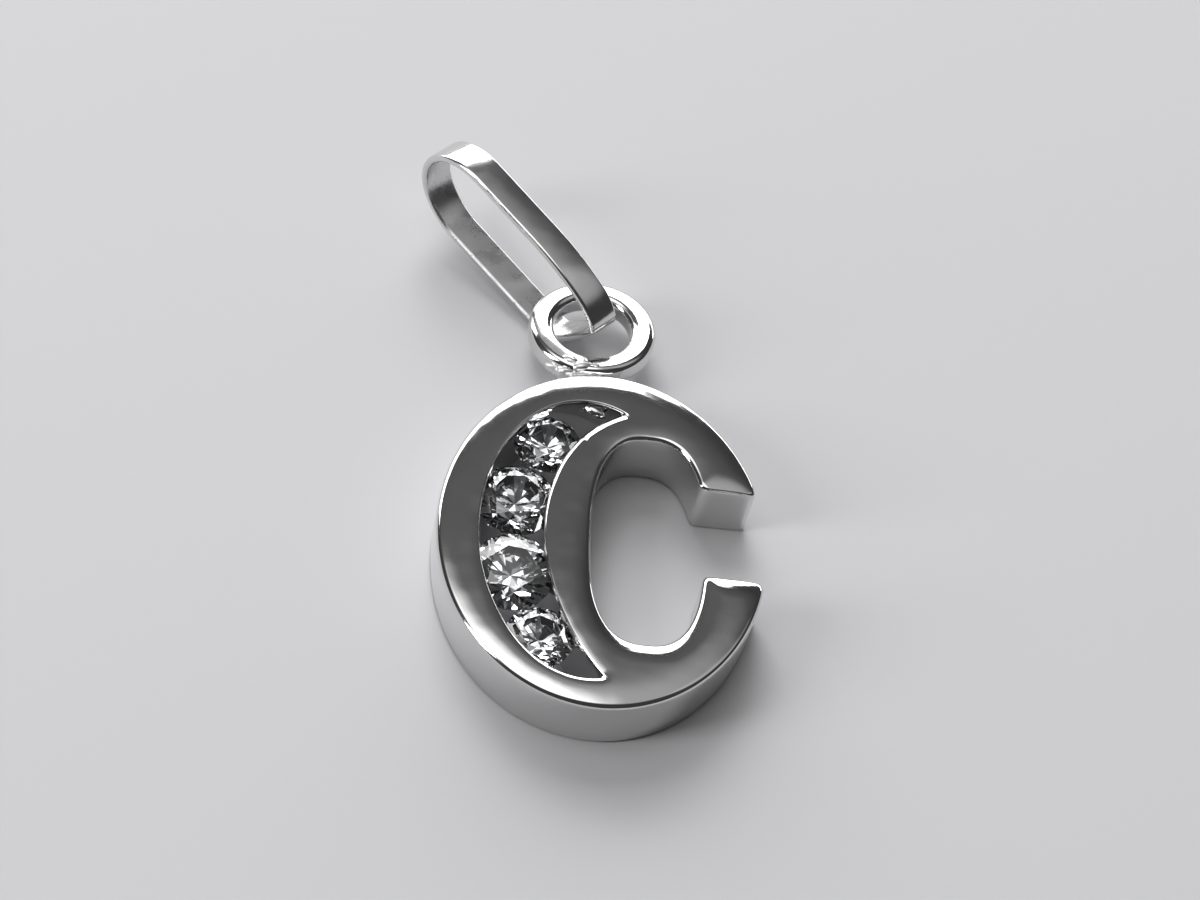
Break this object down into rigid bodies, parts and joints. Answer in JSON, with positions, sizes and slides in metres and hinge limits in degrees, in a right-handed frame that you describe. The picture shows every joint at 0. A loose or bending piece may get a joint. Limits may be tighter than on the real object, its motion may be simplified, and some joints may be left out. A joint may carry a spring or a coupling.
{
  "type": "initial pendant",
  "caption": "Small flat letter C pendant with a crescent window of channel-set round stones, a jump ring soldered to its top edge and a loop bail of flat strip.",
  "frame": {"origin": "on the letter's flat back, in the middle of the bar between the window and the open middle", "axes": "+Z out of the letter's face, +Y to the letter's top, +X to its right; the pendant lies on its flat back on the plane z = 0"},
  "size_m": [0.0089, 0.0157, 0.0033],
  "materials": {
    "silver": "polished",
    "crystal": "polished facets"
  },
  "bodies": {
    "root": {"letter": "silver", "bail": "silver", "stone_1": "crystal", "stone_2": "crystal", "stone_3": "crystal", "stone_4": "crystal"}
  },
  "joints": []
}
